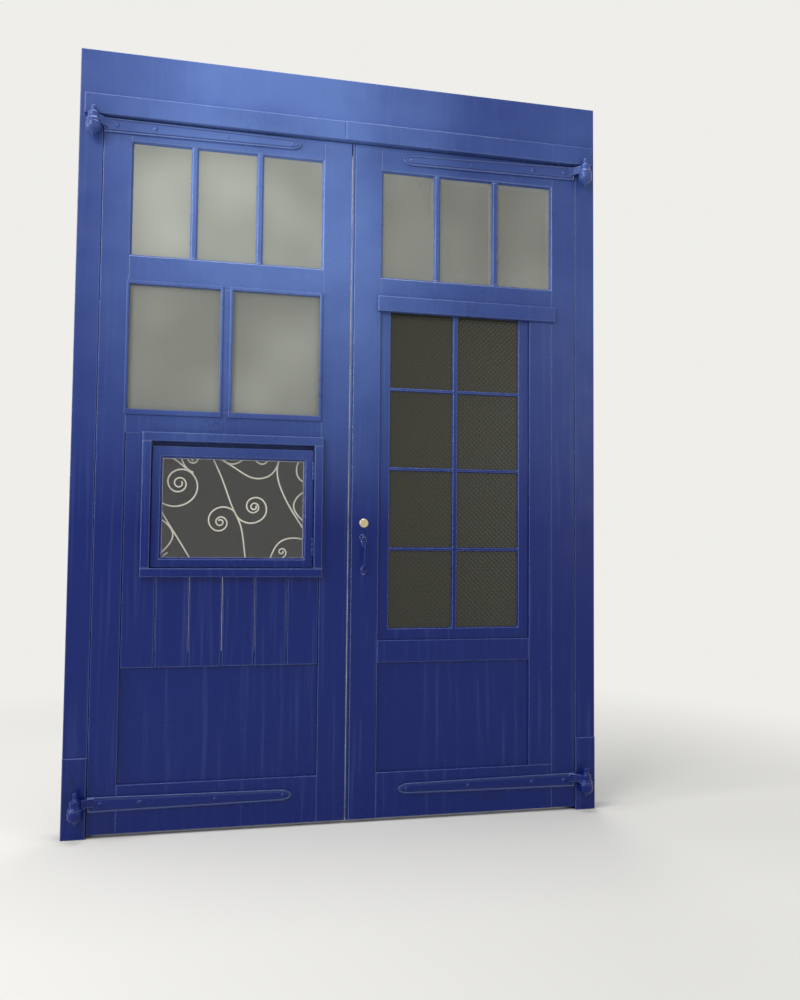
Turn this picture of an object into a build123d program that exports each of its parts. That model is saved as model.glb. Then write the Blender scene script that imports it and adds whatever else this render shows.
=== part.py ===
"""Pair of framed coach-house doors in their timber frame, hung on long cast strap hinges.

Origin: middle of the doorway at ground level, on the plane of the leaves' outer faces.
X runs to the right as seen from the street, Y runs into the building, Z runs up.
All sizes are in millimetres.
"""

from build123d import *
import os
from math import asin, atan, cos, degrees, radians, sin

os.makedirs("parts", exist_ok=True)

# Doorway and outer frame
opening_width = 2172
opening_height = 3066
post_width = 98
frame_depth = 100
head_height = 290
fascia_height = 87
fascia_thickness = 25
fascia_step = 3
fascia_end_margin = 22
fascia_joint_x = -35
plinth_height = 334
plinth_proud = 6
stop_width = 30
stop_thickness = 22
stop_gap = 2
fixing_radius = 5.5
fixing_y = 89
fixing_low_z = 400
fixing_high_z = 2700

# Leaves
side_gap = 2.5
meeting_gap = 4
top_gap = 4
foot_gap = 15
leaf_thickness = 54
meeting_relief = 3
hanging_stile = 116
left_meeting_stile = 126
right_meeting_stile = 135
top_rail_left = 90
top_rail_right = 109
top_light_height = 506
bottom_rail = 200
arris = 1.5
joint_gap = 0.3

# Glazing
glass_set = 14
glass_thickness = 4
glass_tuck = 6
putty_width = 9
bar_width = 32
bar_drift = 9
top_light_count = 3

# Left leaf below the top lights
upper_rail = 123
middle_light_height = 542
middle_rail = 103
mullion_flat = 27
bead_proud = 7
bead_side = 13
bead_top = 16
bead_bottom = 24
bead_lap = 7
bead_round = 4
board_count = 6
board_height = 997
board_set = 2
board_thickness = 20
board_gap = 0.8
board_vee = 5
kick_set = 12
kick_thickness = 10
ledge_height = 120
ledge_rise = 59

# Casement let into the boards
architrave_margin = 74.5
architrave_height = 621
architrave_face = 39
architrave_proud = 25
architrave_lap = 10
architrave_rise = 6
lining_side = 20
lining_foot = 20
sash_gap = 3
sash_head_gap = 20
sash_thickness = 38
sash_set_back = 14
sash_member = 43
sash_head = 50
stop_lip = 12
stop_lip_head = 30
stop_lip_thickness = 8
butt_height = 76
butt_inset = 54
butt_radius = 5
butt_pin_radius = 2
butt_leaf = 1.2
catch_boss_radius = 8
catch_reach = 22
catch_width = 14
catch_thickness = 5

# Scroll grille behind the casement glass
grille_depth = 10
grille_back = 54
grille_border = 8
scroll_line = 6
scroll_eye = 5.4

# Right leaf below the top lights
right_middle_rail = 101
drip_height = 75
drip_proud = 16
drip_lap = 12
drip_overhang = 52
margin_stile_width = 110.5
lower_sash_height = 1546
lower_sash_set = 12
lower_sash_thickness = 38
lower_sash_member = 53
lower_sash_head = 48
lower_bar_width = 26
lower_cross_bar = 18
lower_glass_set = 24
lower_putty = 4
lower_rows = 4
lock_rail = 99
right_panel_set = 12
right_panel_thickness = 18
bead_width = 10
quirk_width = 3
quirk_depth = 5

# Strap hinges
pin_offset = 38.5
pin_forward = 42
pin_radius = 8
pin_length = 45
pin_clearance = 0.05
bearing_gap = 0.3
strap_length = 884
strap_root = 62
strap_tip = 46
strap_nose = 52
strap_plate = 5
strap_rim_height = 9
strap_body_height = 11
strap_rim_width = 5
strap_groove = 4
strap_body_round = 3.5
strap_top_drop = 35
strap_foot_rise = 126
right_strap_tilt = 1.2
arm_clear = 4
joint_drop = 8
bell_rim = 30
bell_body = 23
bell_button = 11
bell_height = 73
acorn_radius = 31
acorn_height = 67
shank_size = 20
shank_depth = 60
bolt_shares = (0.106, 0.286, 0.634, 0.958)
bolt_domes = (11, 11, 7, 7)
bolt_radius = 5
bolt_clearance = 0.2
nut_size = 18
nut_thickness = 8

# Latch, pull and bolts
lock_x = 71
lock_z = 1325
rose_radius = 20
rose_thickness = 5
barrel_radius = 16
case_length = 92
case_height = 74
case_depth = 30
case_edge = 8
latch_height = 28
latch_depth = 14
latch_length = 50
latch_travel = 24
latch_running = 0.4
keep_edge = 5.5
keep_length = 34
knob_radius = 15
knob_reach = 34
pull_top_z = 1236
pull_height = 116
pull_stand = 40
pull_bar_radius = 6
tower_x = -64
tower_plate_width = 60
tower_plate_length = 310
tower_rod_radius = 7
tower_axis = 12
tower_travel = 50
tower_clearance = 0.3
tower_head_margin = 52
tower_foot_margin = 15
tower_knob_share = 0.22
tower_end_margin = 5

# Values worked out from the sizes above
half_opening = opening_width / 2
half_frame = half_opening + post_width
leaf_outer = half_opening - side_gap
leaf_inner = meeting_gap / 2
leaf_foot = foot_gap
leaf_head = opening_height - top_gap
left_field = (-leaf_outer + hanging_stile, -leaf_inner - left_meeting_stile)
right_field = (leaf_inner + right_meeting_stile, leaf_outer - hanging_stile)
lower_sash_width = right_field[1] - right_field[0] - margin_stile_width
back = leaf_thickness
pin_x = leaf_outer + pin_offset
top_strap_z = leaf_head - strap_top_drop
foot_strap_z = leaf_foot + strap_foot_rise


def block(x, y, z, mode=Mode.ADD):
    """A box between low and high values along each axis."""
    middle = ((x[0] + x[1]) / 2, (y[0] + y[1]) / 2, (z[0] + z[1]) / 2)
    with Locations(middle):
        Box(x[1] - x[0], y[1] - y[0], z[1] - z[0], mode=mode)


def ease_front(size=arris):
    """Take the sharp arris off the outermost street-side face of the piece being made."""
    front = faces().filter_by(Axis.Y).sort_by(Axis.Y)[0]
    chamfer(front.edges(), size)


def hole_along_y(x, z, y, radius):
    """A round hole through the piece being made, between two depths."""
    with Locations((x, (y[0] + y[1]) / 2, z)):
        Cylinder(radius, y[1] - y[0], rotation=(90, 0, 0), mode=Mode.SUBTRACT)


def finish(piece, name):
    """Name a finished piece and write it out."""
    piece.part.label = name
    export_step(piece.part, f"parts/{name}.step")


def light_hollow(x, z, set_back=glass_set, putty=putty_width):
    """Everything cut away for one glazed light whose clear sight is x by z.

    A bevel stands for the putty in front of the pane, a groove holds the pane's edge,
    and a straight hole carries on to the back of the leaf.
    """
    width = x[1] - x[0]
    height = z[1] - z[0]
    over = 1
    with BuildPart() as hollow:
        with BuildSketch(Plane.XZ.offset(-set_back)):
            with Locations(((x[0] + x[1]) / 2, (z[0] + z[1]) / 2)):
                Rectangle(width, height)
        extrude(amount=set_back + over, taper=-degrees(atan(putty / set_back)))
        groove = (set_back - joint_gap / 2, set_back + glass_thickness + joint_gap / 2)
        edge = glass_tuck + joint_gap
        block((x[0] - edge, x[1] + edge), groove, (z[0] - edge, z[1] + edge))
        block(x, (set_back, back + over), z)
    return hollow.part


def pane(x, z, set_back=glass_set):
    """One sheet of glass with its edges tucked into the grooves round the light x by z."""
    block((x[0] - glass_tuck, x[1] + glass_tuck), (set_back, set_back + glass_thickness),
          (z[0] - glass_tuck, z[1] + glass_tuck))


def rebate_strip(x, z):
    """Timber carried in to the sight line behind the putty, to hold the pane's edge."""
    block(x, (arris, back), z)


def row_of_lights(field, top, height, count, bar, drift):
    """Clear sights of the lights across one leaf, with the bars set slightly to the left."""
    low = field[0] + putty_width
    high = field[1] - putty_width
    width = (high - low - bar * (count - 1)) / count
    sights = []
    for i in range(count):
        start = low + i * (width + bar) - (drift if i > 0 else 0)
        end = low + i * (width + bar) + width - (drift if i < count - 1 else 0)
        sights.append((start, end))
    return sights, (top - height + putty_width, top - putty_width)


# Hinge geometry shared by straps, hooks and bolts
def strap_run(side, tilt):
    """Direction of a strap from its pin towards the middle of the doorway."""
    return Vector(-side * cos(radians(tilt)), 0, -sin(radians(tilt)))


def bolt_places(side, pin_z, tilt):
    """Where the bolts of one strap go through the leaf, as (x, z)."""
    run = strap_run(side, tilt)
    distances = [strap_length * share for share in bolt_shares]
    return [(side * pin_x + run.X * d, pin_z + run.Z * d) for d in distances]


straps = {
    "left_top_strap": (-1, top_strap_z, 0),
    "left_bottom_strap": (-1, foot_strap_z, 0),
    "right_top_strap": (1, top_strap_z, right_strap_tilt),
    "right_bottom_strap": (1, foot_strap_z, 0),
}


def drill_bolt_holes(side):
    """Holes for the coach bolts of both straps on one side."""
    for hinge_side, pin_z, tilt in straps.values():
        if hinge_side == side:
            for x, z in bolt_places(side, pin_z, tilt):
                hole_along_y(x, z, (-1, back + 1), bolt_radius + bolt_clearance)


# Frame: head, fascia, posts, plinths and stops
head_top = opening_height + head_height
with BuildPart() as head_beam:
    block((-half_frame, half_frame), (0, frame_depth), (opening_height, head_top))
    ease_front()
    with BuildSketch(Plane.XY.offset(opening_height)):
        with Locations((tower_x, back + tower_axis)):
            Circle(tower_rod_radius + 1)
    extrude(amount=tower_travel / 2, mode=Mode.SUBTRACT)
finish(head_beam, "head_beam")

fascia_z = (opening_height, opening_height + fascia_height)
fascia_edge = half_frame - fascia_end_margin
with BuildPart() as head_fascia_left:
    block((-fascia_edge, fascia_joint_x), (-fascia_thickness, 0), fascia_z)
    ease_front(2 * arris)
finish(head_fascia_left, "head_fascia_left")

with BuildPart() as head_fascia_right:
    block((fascia_joint_x, fascia_edge), (-fascia_thickness - fascia_step, 0), fascia_z)
    ease_front(2 * arris)
finish(head_fascia_right, "head_fascia_right")


def shank_z(pin_z):
    """Height range of a hinge hook's square shank."""
    top = pin_z - joint_drop - joint_gap - acorn_height / 6
    return (top - shank_size, top)


def cut_shank_holes(side, z_values, y):
    """Square mortises for the hinge hooks in a post or a plinth."""
    for pin_z in z_values:
        middle = side * pin_x
        block((middle - shank_size / 2, middle + shank_size / 2), y, shank_z(pin_z), Mode.SUBTRACT)


def post_span(side):
    """X range of the post on one side."""
    return tuple(sorted((side * half_opening, side * half_frame)))


for side, name in ((-1, "left_post"), (1, "right_post")):
    with BuildPart() as post:
        block(post_span(side), (0, frame_depth), (0, opening_height))
        ease_front()
        cut_shank_holes(side, (top_strap_z, foot_strap_z), (-1, shank_depth))
        with BuildSketch(Plane.YZ.offset(side * half_opening)):
            with Locations((fixing_y, fixing_low_z), (fixing_y, fixing_high_z)):
                Circle(fixing_radius)
        extrude(amount=post_width, dir=(side, 0, 0), mode=Mode.SUBTRACT)
    finish(post, name)

with BuildPart() as post_plinths:
    for side in (-1, 1):
        with BuildPart(mode=Mode.PRIVATE) as plinth:
            block(post_span(side), (-plinth_proud, 0), (0, plinth_height))
            ease_front(2 * arris)
            cut_shank_holes(side, (foot_strap_z,), (-2 * plinth_proud, 1))
        add(plinth.part)
finish(post_plinths, "post_plinths")

stop_y = (back + stop_gap, back + stop_gap + stop_thickness)
stop_foot = opening_height - stop_width
with BuildPart() as frame_stops:
    for side in (-1, 1):
        edges_x = sorted((side * half_opening, side * (half_opening - stop_width)))
        block(tuple(edges_x), stop_y, (0, stop_foot - joint_gap))
    block((-half_opening, half_opening), stop_y, (stop_foot, opening_height))
    with BuildSketch(Plane.XY.offset(stop_foot)):
        with Locations((tower_x, back + tower_axis)):
            Circle(tower_rod_radius + 1)
    extrude(amount=stop_width, mode=Mode.SUBTRACT)
finish(frame_stops, "frame_stops")

keep_plate = 3
with BuildPart() as head_keep:
    block((tower_x - tower_plate_width / 2, tower_x + tower_plate_width / 2),
          stop_y, (stop_foot - keep_plate, stop_foot))
    with Locations((tower_x, back + tower_axis, stop_foot - keep_plate / 2)):
        Cylinder(tower_rod_radius + 1, 2 * keep_plate, mode=Mode.SUBTRACT)
finish(head_keep, "head_keep")


# Hinge hooks: acorn, pin and square shank, one pair on each post
def hook_at(side, pin_z):
    """The fixed half of one hinge, driven into the post."""
    joint_z = pin_z - joint_drop
    cup_top = joint_z - bearing_gap
    with BuildPart() as hook:
        with BuildSketch(Plane.XZ):
            with BuildLine():
                rim = acorn_height / 7
                cup_low = cup_top - acorn_height / 2.6
                tip = cup_top - acorn_height
                Polyline((pin_radius, cup_top + pin_length), (0, cup_top + pin_length), (0, tip))
                Spline((0, tip), (acorn_radius * 0.7, cup_low - acorn_height * 0.27),
                       (acorn_radius, cup_low), tangents=[(0.5, 1), (0, 1)])
                Polyline((acorn_radius, cup_low), (acorn_radius, cup_top - rim),
                         (acorn_radius - 3, cup_top), (pin_radius, cup_top),
                         (pin_radius, cup_top + pin_length))
            make_face()
        revolve(axis=Axis.Z)
    placed = Pos(side * pin_x, -pin_forward, 0) * hook.part
    with BuildPart() as whole:
        add(placed)
        middle = side * pin_x
        block((middle - shank_size / 2, middle + shank_size / 2), (-pin_forward, shank_depth),
              shank_z(pin_z))
    return whole.part


for side, name in ((-1, "left_hinge_hooks"), (1, "right_hinge_hooks")):
    with BuildPart() as hooks:
        add(hook_at(side, top_strap_z))
        add(hook_at(side, foot_strap_z))
    finish(hooks, name)


# Straps: plate with raised rim and convex body, cranked out to a bell over the pin
def strap_outline(shrink):
    """Outline of a strap in its own plane, from the leaf edge to the rounded nose."""
    start = pin_offset + arm_clear + shrink
    shoulder = strap_length - strap_nose
    root = strap_root / 2 - shrink
    tip = strap_tip / 2 - shrink
    end = strap_length - shrink
    with BuildSketch() as outline:
        with BuildLine():
            Polyline((shoulder, tip), (start, root), (start, -root), (shoulder, -tip))
            EllipticalCenterArc((shoulder, 0), end - shoulder, tip, start_angle=-90, arc_size=180)
        make_face()
    return outline.sketch


def bell_part(side, pin_z):
    """Bell with its button, turning on the pin of the hook below it."""
    joint_z = pin_z - joint_drop
    bore = pin_radius + pin_clearance
    with BuildPart() as bell:
        with BuildSketch(Plane.XZ):
            with BuildLine():
                shoulder = joint_z + bell_height * 0.45
                button_foot = joint_z + bell_height * 0.64
                bore_top = joint_z + pin_length + 1
                Polyline((bore, joint_z), (bell_rim - 2, joint_z), (bell_rim, joint_z + 2),
                         (bell_rim, joint_z + 5))
                Spline((bell_rim, joint_z + 5), (bell_body + 1.5, joint_z + 13),
                       (bell_body, joint_z + 20), tangents=[(-1, 0.8), (0, 1)])
                Line((bell_body, joint_z + 20), (bell_body, shoulder))
                Spline((bell_body, shoulder), (bell_button, button_foot),
                       tangents=[(0, 1), (-0.4, 1)])
                Line((bell_button, button_foot), (bell_button, joint_z + bell_height - bell_button))
                CenterArc((0, joint_z + bell_height - bell_button), bell_button, 0, 90)
                Polyline((0, joint_z + bell_height), (0, bore_top), (bore, bore_top), (bore, joint_z))
            make_face()
        revolve(axis=Axis.Z)
    return Pos(side * pin_x, -pin_forward, 0) * bell.part


def arm_part(side, pin_z):
    """Cranked arm from the plate out to the bell, seen in plan."""
    root = pin_offset + arm_clear
    near = (root + 26, 0)
    points = [(near[0], -strap_body_height), near, (root, 0), (12, -pin_forward + 14),
              (4, -pin_forward - 18), (root + 2, -strap_body_height - 7)]
    low = pin_z - joint_drop + 1
    with BuildPart() as arm:
        with BuildSketch(Plane.XY.offset(low)):
            Polygon(*[(side * (pin_x - x), y) for x, y in points], align=None)
        extrude(amount=pin_z + strap_root / 2 - 4 - low)
        with Locations((side * pin_x, -pin_forward, low + bell_height / 2)):
            Cylinder(pin_radius + 4, bell_height, mode=Mode.SUBTRACT)
    return arm.part


for name, (side, pin_z, tilt) in straps.items():
    with BuildPart() as strap:
        run = strap_run(side, tilt)
        for shrink, low, high in ((0, 0, strap_plate), (0, strap_plate, strap_rim_height)):
            plane = Plane(origin=(side * pin_x, -low, pin_z), x_dir=run, z_dir=(0, -1, 0))
            with BuildSketch(plane):
                add(strap_outline(shrink))
                if low:
                    add(strap_outline(strap_rim_width), mode=Mode.SUBTRACT)
            extrude(amount=high - low)
        body_plane = Plane(origin=(side * pin_x, -strap_plate, pin_z), x_dir=run, z_dir=(0, -1, 0))
        with BuildSketch(body_plane):
            add(strap_outline(strap_rim_width + strap_groove))
        extrude(amount=strap_body_height - strap_plate)
        crown = faces().filter_by(Axis.Y).sort_by(Axis.Y)[0]
        fillet(crown.edges(), strap_body_round)
        add(arm_part(side, pin_z))
        add(bell_part(side, pin_z))
        for x, z in bolt_places(side, pin_z, tilt):
            hole_along_y(x, z, (-2 * strap_body_height, 1), bolt_radius + bolt_clearance)
    finish(strap, name)


# Coach bolts: domed head, shank through strap and leaf, hexagon nut behind
def coach_bolt(x, z, dome):
    """One bolt with its nut, standing through the leaf at x, z."""
    rise = dome * 0.55
    ball = (dome ** 2 + rise ** 2) / (2 * rise)
    spread = degrees(asin(dome / ball))
    with BuildPart() as bolt:
        with BuildSketch(Plane.XZ):
            with BuildLine():
                Polyline((0, rise), (0, -strap_body_height - back - nut_thickness - 2))
                Polyline((0, -strap_body_height - back - nut_thickness - 2),
                         (bolt_radius, -strap_body_height - back - nut_thickness - 2),
                         (bolt_radius, 0), (dome, 0))
                CenterArc((0, rise - ball), ball, 90 - spread, spread)
            make_face()
        revolve(axis=Axis.Z)
        with BuildSketch(Plane.XY.offset(-strap_body_height - back)):
            RegularPolygon(nut_size / 2, 6, major_radius=False)
        extrude(amount=-nut_thickness)
    return Pos(x, -strap_body_height, z) * Rot(90, 0, 0) * bolt.part


for side, name in ((-1, "left_strap_bolts"), (1, "right_strap_bolts")):
    with BuildPart() as bolts:
        for hinge_side, pin_z, tilt in straps.values():
            if hinge_side == side:
                for (x, z), dome in zip(bolt_places(side, pin_z, tilt), bolt_domes):
                    add(coach_bolt(x, z, dome))
    finish(bolts, name)

# Levels and lights of the left leaf, from the top down
left_top = leaf_head - top_rail_left
left_lights_foot = left_top - top_light_height
middle_top = left_lights_foot - upper_rail
middle_foot = middle_top - middle_light_height
board_top = middle_foot - middle_rail
board_foot = board_top - board_height
rail_top = leaf_foot + bottom_rail

top_sights, top_z = row_of_lights(left_field, left_top, top_light_height, top_light_count,
                                  bar_width, bar_drift)
left_top_hollows = [light_hollow(x, top_z) for x in top_sights]

# The middle row has two square-edged lights inside planted beads
bead_outer = (left_field[0] - bead_lap, left_field[1])
bead_frame_width = (bead_outer[1] - bead_outer[0] - mullion_flat) / 2
bead_z = (middle_foot - bead_bottom, middle_top + bead_top)
bead_frames = [(bead_outer[0], bead_outer[0] + bead_frame_width),
               (bead_outer[1] - bead_frame_width, bead_outer[1])]
middle_z = (middle_foot, middle_top)
middle_sights = [(x[0] + bead_side, x[1] - bead_side) for x in bead_frames]
left_middle_hollows = [light_hollow(x, middle_z, putty=0.01) for x in middle_sights]

# Left leaf: stiles and rails
with BuildPart() as left_hanging_stile:
    block((-leaf_outer, left_field[0]), (0, back), (leaf_foot, leaf_head))
    ease_front()
    rebate_strip((left_field[0], left_field[0] + putty_width), top_z)
    add(left_top_hollows + left_middle_hollows, mode=Mode.SUBTRACT)
    drill_bolt_holes(-1)
finish(left_hanging_stile, "left_hanging_stile")

with BuildPart() as left_meeting_stile_part:
    with BuildSketch(Plane.XY.offset(leaf_foot)):
        Polygon((left_field[1], 0), (-leaf_inner, 0), (-leaf_inner - meeting_relief, back),
                (left_field[1], back), align=None)
    extrude(amount=leaf_head - leaf_foot)
    ease_front()
    rebate_strip((left_field[1] - putty_width, left_field[1]), top_z)
    add(left_top_hollows + left_middle_hollows, mode=Mode.SUBTRACT)
finish(left_meeting_stile_part, "left_meeting_stile")

with BuildPart() as left_top_rail:
    block(left_field, (0, back), (left_top, leaf_head))
    ease_front()
    rebate_strip(left_field, (top_z[1], left_top))
    add(left_top_hollows, mode=Mode.SUBTRACT)
    drill_bolt_holes(-1)
finish(left_top_rail, "left_top_rail")

with BuildPart() as left_upper_rail:
    block(left_field, (0, back), (middle_top, left_lights_foot))
    ease_front()
    rebate_strip(left_field, (left_lights_foot, top_z[0]))
    add(left_top_hollows + left_middle_hollows, mode=Mode.SUBTRACT)
finish(left_upper_rail, "left_upper_rail")

with BuildPart() as left_middle_rail:
    block(left_field, (0, back), (board_top, middle_foot))
    ease_front()
    add(left_middle_hollows, mode=Mode.SUBTRACT)
finish(left_middle_rail, "left_middle_rail")

with BuildPart() as left_bottom_rail:
    block(left_field, (0, back), (leaf_foot, rail_top))
    ease_front()
    drill_bolt_holes(-1)
finish(left_bottom_rail, "left_bottom_rail")

ledge_z = (board_foot - ledge_height + ledge_rise, board_foot + ledge_rise)
with BuildPart() as left_ledge:
    block(left_field, (board_set + board_thickness, back), ledge_z)
finish(left_ledge, "left_ledge")


def upright_bars(sights, hollows, z):
    """Glazing bars between neighbouring lights, each left standing where the hollows miss."""
    with BuildPart() as bars:
        for left, right in zip(sights[:-1], sights[1:]):
            block((left[1] - glass_tuck, right[0] + glass_tuck), (arris, back), z)
        add(hollows, mode=Mode.SUBTRACT)
    return bars


left_glazing_bars = upright_bars(top_sights, left_top_hollows, top_z)
with BuildPart() as left_bars:
    add(left_glazing_bars.part)
    with BuildPart(mode=Mode.PRIVATE) as mullion:
        block((middle_sights[0][1], middle_sights[1][0]), (0, back), middle_z)
        add(left_middle_hollows, mode=Mode.SUBTRACT)
    add(mullion.part)
finish(left_bars, "left_glazing_bars")

with BuildPart() as left_top_glass:
    for x in top_sights:
        pane(x, top_z)
finish(left_top_glass, "left_top_glass")

with BuildPart() as left_middle_glass:
    for x in middle_sights:
        pane(x, middle_z)
finish(left_middle_glass, "left_middle_glass")

with BuildPart() as left_planted_beads:
    for outer, inner in zip(bead_frames, middle_sights):
        with BuildPart(mode=Mode.PRIVATE) as bead:
            block(outer, (-bead_proud, 0), bead_z)
            block(inner, (-2 * bead_proud, 1), middle_z, Mode.SUBTRACT)
            fillet(faces().filter_by(Axis.Y).sort_by(Axis.Y)[0].edges(), bead_round)
        add(bead.part)
finish(left_planted_beads, "left_planted_beads")

# Casement opening: architrave, lining and stop
arch_x = (left_field[0] + architrave_margin, left_field[1] + architrave_lap)
arch_z = (board_top + architrave_rise - architrave_height, board_top + architrave_rise)
clear_x = (arch_x[0] + architrave_face, arch_x[1] - architrave_face)
clear_z = (arch_z[0] + architrave_face, arch_z[1] - architrave_face)
lining_x = (clear_x[0] - lining_side, left_field[1])
lining_z = (clear_z[0] - lining_foot, board_top)

with BuildPart() as casement_architrave:
    for x, z in ((arch_x, (clear_z[1], arch_z[1])), (arch_x, (arch_z[0], clear_z[0])),
                 ((arch_x[0], clear_x[0]), clear_z), ((clear_x[1], arch_x[1]), clear_z)):
        with BuildPart(mode=Mode.PRIVATE) as member:
            block(x, (-architrave_proud, 0), z)
            ease_front(2 * arris)
        add(member.part)
finish(casement_architrave, "casement_architrave")

sash_y = (-architrave_proud + sash_set_back, -architrave_proud + sash_set_back + sash_thickness)
lip_y = (sash_y[1] + stop_gap, sash_y[1] + stop_gap + stop_lip_thickness)
lip_x = (clear_x[0] + stop_lip, clear_x[1] - stop_lip)
lip_z = (clear_z[0] + stop_lip, clear_z[1] - stop_lip_head)
with BuildPart() as casement_lining:
    block(lining_x, (0, back), lining_z)
    block(clear_x, (-1, lip_y[0]), clear_z, Mode.SUBTRACT)
    block(lip_x, (0, back), lip_z, Mode.SUBTRACT)
    block(clear_x, (lip_y[1], back + 1), clear_z, Mode.SUBTRACT)
finish(casement_lining, "casement_lining")

# Boards: the first one runs up beside the lining, the others stop under it
board_pitch = (left_field[1] - left_field[0]) / board_count
board_y = (board_set, board_set + board_thickness)
with BuildPart() as left_boards:
    for i in range(board_count):
        low_x = left_field[0] + i * board_pitch
        with BuildPart(mode=Mode.PRIVATE) as board:
            if i == 0:
                block((low_x + board_gap / 2, lining_x[0]), board_y, (board_foot, board_top))
            block((low_x + board_gap / 2, low_x + board_pitch - board_gap / 2), board_y,
                  (board_foot, lining_z[0]))
            front = faces().filter_by(Axis.Y).sort_by(Axis.Y)[0]
            chamfer(front.edges().filter_by(Axis.Z), board_vee)
        add(board.part)
finish(left_boards, "left_boards")

with BuildPart() as left_kick_panel:
    block((left_field[0] + joint_gap, left_field[1] - joint_gap),
          (kick_set, kick_set + kick_thickness), (rail_top, board_foot))
finish(left_kick_panel, "left_kick_panel")

# Casement sash, hung on its right side
sash_x = (clear_x[0] + sash_gap, clear_x[1] - sash_gap)
sash_z = (clear_z[0] + sash_gap, clear_z[1] - sash_head_gap)
sash_sight_x = (sash_x[0] + sash_member, sash_x[1] - sash_member)
sash_sight_z = (sash_z[0] + sash_member, sash_z[1] - sash_head)
sash_glass_y = sash_y[0] + glass_set
sash_hollow = Pos(0, sash_y[0], 0) * light_hollow(sash_sight_x, sash_sight_z)
with BuildPart() as casement_sash:
    block(sash_x, sash_y, sash_z)
    ease_front()
    add(sash_hollow, mode=Mode.SUBTRACT)
finish(casement_sash, "casement_sash")

with BuildPart() as casement_glass:
    pane(sash_sight_x, sash_sight_z, sash_glass_y)
finish(casement_glass, "casement_glass")

# Butt hinges of the casement, knuckles outside
butt_x = clear_x[1] - butt_radius - 0.6
butt_y = sash_y[0] - butt_radius - 1
butt_feet = (sash_z[0] + butt_inset, sash_z[1] - butt_inset - butt_height)
third = butt_height / 3
butt_tail = sash_y[0] + 25


def knuckle(z, bore):
    """One tube of a butt hinge round its pin."""
    with Locations((butt_x, butt_y, (z[0] + z[1]) / 2)):
        Cylinder(butt_radius, z[1] - z[0])
        if bore:
            Cylinder(butt_pin_radius + pin_clearance, z[1] - z[0], mode=Mode.SUBTRACT)


with BuildPart() as casement_frame_butts:
    for foot in butt_feet:
        with BuildPart(mode=Mode.PRIVATE) as butt:
            flap = (clear_x[1] - butt_leaf, clear_x[1])
            block(flap, (sash_y[0] - 2, butt_tail), (foot, foot + butt_height))
            for z in ((foot, foot + third), (foot + 2 * third, foot + butt_height)):
                knuckle(z, bore=False)
                block((butt_x + butt_radius - 2, clear_x[1]), (butt_y - 1, sash_y[0] - 2), z)
            with Locations((butt_x, butt_y, foot + butt_height / 2)):
                Cylinder(butt_pin_radius, third)
        add(butt.part)
finish(casement_frame_butts, "casement_frame_butts")

with BuildPart() as casement_sash_butts:
    for foot in butt_feet:
        with BuildPart(mode=Mode.PRIVATE) as butt:
            flap = (sash_x[1], sash_x[1] + butt_leaf)
            block(flap, (sash_y[0], butt_tail), (foot, foot + butt_height))
            middle_third = (foot + third + joint_gap, foot + 2 * third - joint_gap)
            knuckle(middle_third, bore=True)
            block((sash_x[1], sash_x[1] + butt_leaf), (butt_y, sash_y[0]), middle_third)
        add(butt.part)
finish(casement_sash_butts, "casement_sash_butts")

# Turn catch on the sash, shown turned free; across, its ends reach behind the stop
catch_x = sash_x[0] + stop_lip - sash_gap + catch_boss_radius + 4
catch_z = (sash_z[0] + sash_z[1]) / 2
catch_y = (lip_y[1] + 0.5, lip_y[1] + 0.5 + catch_thickness)
with BuildPart() as casement_catch:
    with BuildSketch(Plane.XZ.offset(-sash_y[1])):
        with Locations((catch_x, catch_z)):
            Circle(catch_boss_radius)
    extrude(amount=-(catch_y[1] - sash_y[1]))
    with BuildSketch(Plane.XZ.offset(-catch_y[0])):
        with Locations((catch_x, catch_z)):
            SlotOverall(2 * catch_reach, catch_width, rotation=90)
    extrude(amount=-catch_thickness)
finish(casement_catch, "casement_catch")

# Scroll grille: flat bars on edge, drawn on a grid of a hundred units across the border
grille_y = (grille_back - grille_depth, grille_back)
grille_in_x = (clear_x[0] + grille_border, clear_x[1] - grille_border)
grille_in_z = (clear_z[0] + grille_border, clear_z[1] - grille_border)
unit = (grille_in_x[1] - grille_in_x[0]) / 100


def curl(start, heading, lead, radius, shrink, turn, quarters):
    """A scroll: a straight lead, then quarter turns that tighten towards a small eye."""
    direction = Vector(cos(radians(heading)), sin(radians(heading)))
    point = Vector(*start)
    if lead:
        Line(point - direction * lead, point)
    for i in range(round(quarters)):
        arc = JernArc(point, direction, scroll_eye + (radius - scroll_eye) * shrink ** i, turn * 90)
        point = arc @ 1
        direction = arc % 1


# Each scroll in units: start of its first arc, heading in degrees, lead before that start,
# first radius, share kept from quarter to quarter, turn, and how many quarters
scrolls = (
    ((2.2, 42.3), -44, 5.2, 15.2, 0.76, 1, 10),
    ((49.4, 36.2), 144, 1.0, 9.8, 0.73, 1, 9),
    ((52.5, 31.8), -50, 1.0, 11.1, 0.74, 1, 10),
    ((82.8, 6.0), 35, 11.8, 3.2, 0.6, 1, 5),
    ((20.4, 69.7), -90, 8.6, 3.6, 0.72, 1, 5),
    ((57.6, 75.3), -90, 3.0, 9.2, 0.7, -1, 7),
    ((63.1, 71.4), -90, 6.9, 4.8, 0.72, 1, 6),
)

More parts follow.
